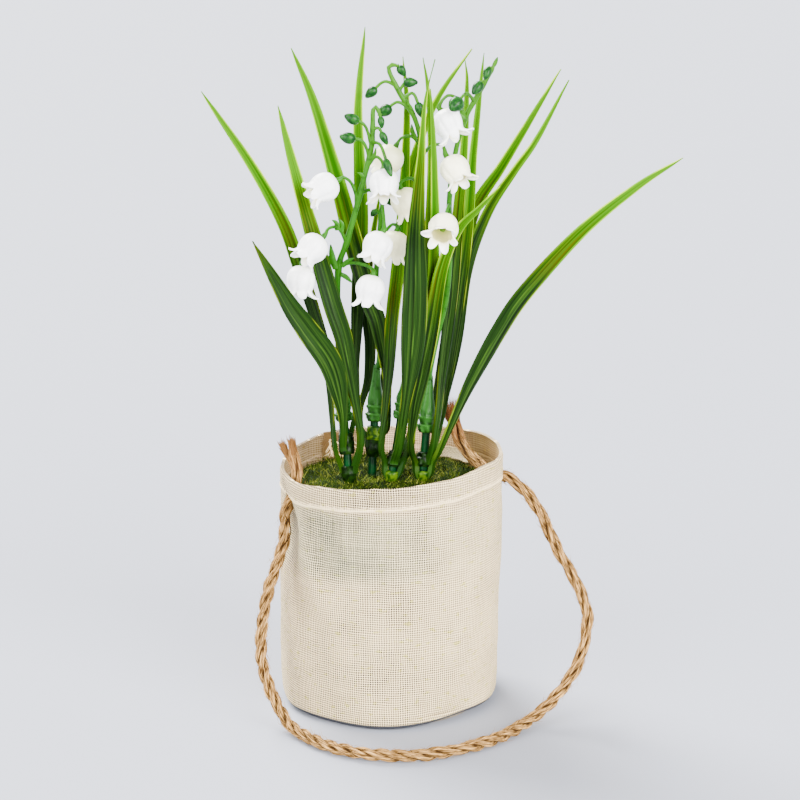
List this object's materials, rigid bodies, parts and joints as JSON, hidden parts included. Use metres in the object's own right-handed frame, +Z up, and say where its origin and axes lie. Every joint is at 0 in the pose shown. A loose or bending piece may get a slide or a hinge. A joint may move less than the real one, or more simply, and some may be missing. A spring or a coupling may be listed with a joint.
{
  "type": "artificial potted lily of the valley",
  "caption": "Artificial lily of the valley: strap leaf tufts and sprays of hanging bells on rods in moss, in a round linen bag with a rope handle.",
  "frame": {"origin": "centre of the bag's base, on the surface it stands on", "axes": "+Z up; -Y is the front that faces the camera; +X to the right, where the rope handle bulges out"},
  "size_m": [0.1808, 0.1178, 0.2626],
  "materials": {
    "linen": "natural plain weave linen",
    "linen_base": "lined fabric panel",
    "dry_foam": "dry florist foam",
    "moss": "short fibre mat",
    "jute": "loosely laid jute",
    "rod_green": "satin emerald",
    "leaf_green": "satin green, dark at the root and yellow-green at the tip",
    "stalk_green": "satin green",
    "bell_white": "satin white"
  },
  "bodies": {
    "root": {"bag_wall": "linen", "bag_base": "linen_base", "foam_block": "dry_foam", "moss_bed": "moss", "jute_rope": "jute", "rod_a": "rod_green", "rod_b": "rod_green", "rod_c": "rod_green", "rod_d": "rod_green", "tuft_a_lower": "leaf_green", "tuft_a_upper": "leaf_green", "tuft_b": "leaf_green", "tuft_c": "leaf_green", "tuft_d": "leaf_green", "spray_a": "stalk_green", "spray_b": "stalk_green", "spray_c": "stalk_green", "spray_d": "stalk_green", "bell_a1": "bell_white", "bell_a2": "bell_white", "bell_a3": "bell_white", "bell_a4": "bell_white", "bell_a5": "bell_white", "bell_a6": "bell_white", "bell_b1": "bell_white", "bell_c1": "bell_white", "bell_c2": "bell_white", "bell_c3": "bell_white", "bell_d1": "bell_white", "bell_d2": "bell_white"}
  },
  "joints": []
}
